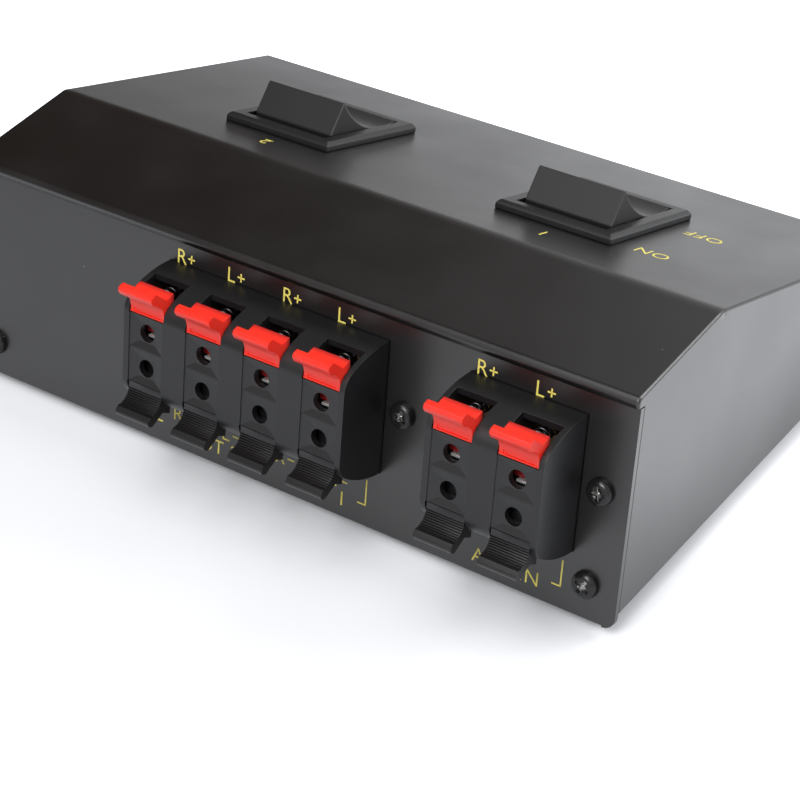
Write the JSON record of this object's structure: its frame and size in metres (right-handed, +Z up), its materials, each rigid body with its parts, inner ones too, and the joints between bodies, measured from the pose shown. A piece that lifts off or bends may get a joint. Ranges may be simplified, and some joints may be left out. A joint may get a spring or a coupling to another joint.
{
  "type": "speaker selector switch",
  "caption": "Sloped metal case with push-lever wire terminals on its leaning rear panel and rocker switches on top that send an amplifier's output to pairs of speakers.",
  "frame": {"origin": "under the middle of the whole part's bounding box, on the surface that the feet rest on", "axes": "+X along the case's length, +Y towards the terminal panel, +Z up"},
  "size_m": [0.155, 0.1136, 0.0479],
  "materials": {
    "black_paint": "semi-gloss powder coat",
    "foot_rubber": "matte",
    "screw_black": "black plated, satin",
    "block_plastic": "satin moulded",
    "fibre_board": "matte fibre board",
    "contact_metal": "tin plated",
    "red_lever_plastic": "semi-gloss",
    "black_lever_plastic": "satin, ribbed finger",
    "spring_steel": "drawn wire",
    "switch_plastic": "fine texture",
    "rocker_plastic": "fine texture"
  },
  "bodies": {
    "case": {"base_tray": "black_paint", "cover_shell": "black_paint", "rubber_feet": "foot_rubber", "cover_screws": "screw_black", "block_screws": "screw_black", "speaker_block_housing": "block_plastic", "speaker_block_plate": "fibre_board", "speaker_contacts": "contact_metal", "amplifier_block_housing": "block_plastic", "amplifier_block_plate": "fibre_board", "amplifier_contacts": "contact_metal", "red_spring_1": "spring_steel", "black_spring_1": "spring_steel", "red_spring_2": "spring_steel", "black_spring_2": "spring_steel", "red_spring_3": "spring_steel", "black_spring_3": "spring_steel", "red_spring_4": "spring_steel", "black_spring_4": "spring_steel", "red_spring_5": "spring_steel", "black_spring_5": "spring_steel", "red_spring_6": "spring_steel", "black_spring_6": "spring_steel", "switch_1_housing": "switch_plastic", "switch_1_tags": "contact_metal", "switch_2_housing": "switch_plastic", "switch_2_tags": "contact_metal"},
    "red_lever_1": {"red_lever_1": "red_lever_plastic"},
    "black_lever_1": {"black_lever_1": "black_lever_plastic"},
    "red_lever_2": {"red_lever_2": "red_lever_plastic"},
    "black_lever_2": {"black_lever_2": "black_lever_plastic"},
    "red_lever_3": {"red_lever_3": "red_lever_plastic"},
    "black_lever_3": {"black_lever_3": "black_lever_plastic"},
    "red_lever_4": {"red_lever_4": "red_lever_plastic"},
    "black_lever_4": {"black_lever_4": "black_lever_plastic"},
    "red_lever_5": {"red_lever_5": "red_lever_plastic"},
    "black_lever_5": {"black_lever_5": "black_lever_plastic"},
    "red_lever_6": {"red_lever_6": "red_lever_plastic"},
    "black_lever_6": {"black_lever_6": "black_lever_plastic"},
    "switch_1_rocker": {"switch_1_rocker": "rocker_plastic"},
    "switch_1_seesaws": {"switch_1_seesaws": "contact_metal"},
    "switch_2_rocker": {"switch_2_rocker": "rocker_plastic"},
    "switch_2_seesaws": {"switch_2_seesaws": "contact_metal"}
  },
  "joints": [
    {"name": "red_lever_1_press", "type": "hinge", "parent": "case", "child": "red_lever_1", "pos_m": [0.0204, 0.04577, 0.03556], "axis": [1, 0, 0], "range_deg": [0, 15], "stiffness_Nm_per_rad": 0.03, "springref_deg": -20.05, "deforming": ["red_spring_1"]},
    {"name": "black_lever_1_press", "type": "hinge", "parent": "case", "child": "black_lever_1", "pos_m": [0.0204, 0.04883, 0.02283], "axis": [-1, 0, 0], "range_deg": [0, 15], "stiffness_Nm_per_rad": 0.03, "springref_deg": -20.05, "deforming": ["black_spring_1"]},
    {"name": "red_lever_2_press", "type": "hinge", "parent": "case", "child": "red_lever_2", "pos_m": [0.0068, 0.04577, 0.03556], "axis": [1, 0, 0], "range_deg": [0, 15], "stiffness_Nm_per_rad": 0.03, "springref_deg": -20.05, "deforming": ["red_spring_2"]},
    {"name": "black_lever_2_press", "type": "hinge", "parent": "case", "child": "black_lever_2", "pos_m": [0.0068, 0.04883, 0.02283], "axis": [-1, 0, 0], "range_deg": [0, 15], "stiffness_Nm_per_rad": 0.03, "springref_deg": -20.05, "deforming": ["black_spring_2"]},
    {"name": "red_lever_3_press", "type": "hinge", "parent": "case", "child": "red_lever_3", "pos_m": [-0.0068, 0.04577, 0.03556], "axis": [1, 0, 0], "range_deg": [0, 15], "stiffness_Nm_per_rad": 0.03, "springref_deg": -20.05, "deforming": ["red_spring_3"]},
    {"name": "black_lever_3_press", "type": "hinge", "parent": "case", "child": "black_lever_3", "pos_m": [-0.0068, 0.04883, 0.02283], "axis": [-1, 0, 0], "range_deg": [0, 15], "stiffness_Nm_per_rad": 0.03, "springref_deg": -20.05, "deforming": ["black_spring_3"]},
    {"name": "red_lever_4_press", "type": "hinge", "parent": "case", "child": "red_lever_4", "pos_m": [-0.0204, 0.04577, 0.03556], "axis": [1, 0, 0], "range_deg": [0, 15], "stiffness_Nm_per_rad": 0.03, "springref_deg": -20.05, "deforming": ["red_spring_4"]},
    {"name": "black_lever_4_press", "type": "hinge", "parent": "case", "child": "black_lever_4", "pos_m": [-0.0204, 0.04883, 0.02283], "axis": [-1, 0, 0], "range_deg": [0, 15], "stiffness_Nm_per_rad": 0.03, "springref_deg": -20.05, "deforming": ["black_spring_4"]},
    {"name": "red_lever_5_press", "type": "hinge", "parent": "case", "child": "red_lever_5", "pos_m": [-0.0487, 0.04577, 0.03556], "axis": [1, 0, 0], "range_deg": [0, 15], "stiffness_Nm_per_rad": 0.03, "springref_deg": -20.05, "deforming": ["red_spring_5"]},
    {"name": "black_lever_5_press", "type": "hinge", "parent": "case", "child": "black_lever_5", "pos_m": [-0.0487, 0.04883, 0.02283], "axis": [-1, 0, 0], "range_deg": [0, 15], "stiffness_Nm_per_rad": 0.03, "springref_deg": -20.05, "deforming": ["black_spring_5"]},
    {"name": "red_lever_6_press", "type": "hinge", "parent": "case", "child": "red_lever_6", "pos_m": [-0.0623, 0.04577, 0.03556], "axis": [1, 0, 0], "range_deg": [0, 15], "stiffness_Nm_per_rad": 0.03, "springref_deg": -20.05, "deforming": ["red_spring_6"]},
    {"name": "black_lever_6_press", "type": "hinge", "parent": "case", "child": "black_lever_6", "pos_m": [-0.0623, 0.04883, 0.02283], "axis": [-1, 0, 0], "range_deg": [0, 15], "stiffness_Nm_per_rad": 0.03, "springref_deg": -20.05, "deforming": ["black_spring_6"]},
    {"name": "switch_1_rocker_tilt", "type": "hinge", "parent": "case", "child": "switch_1_rocker", "pos_m": [-0.0329, -0.02004, 0.03559], "axis": [-1, 0, 0], "range_deg": [0, 36]},
    {"name": "switch_1_seesaw_tilt", "type": "hinge", "parent": "case", "child": "switch_1_seesaws", "pos_m": [-0.0329, -0.01658, 0.026], "axis": [1, 0, 0], "range_deg": [0, 14]},
    {"name": "switch_2_rocker_tilt", "type": "hinge", "parent": "case", "child": "switch_2_rocker", "pos_m": [0.0329, -0.02004, 0.03559], "axis": [-1, 0, 0], "range_deg": [0, 36]},
    {"name": "switch_2_seesaw_tilt", "type": "hinge", "parent": "case", "child": "switch_2_seesaws", "pos_m": [0.0329, -0.01658, 0.026], "axis": [1, 0, 0], "range_deg": [0, 14]}
  ],
  "couplings": [
    {"joint": "switch_1_seesaw_tilt", "follows": "switch_1_rocker_tilt", "ratio": 0.3888},
    {"joint": "switch_2_seesaw_tilt", "follows": "switch_2_rocker_tilt", "ratio": 0.3888}
  ]
}
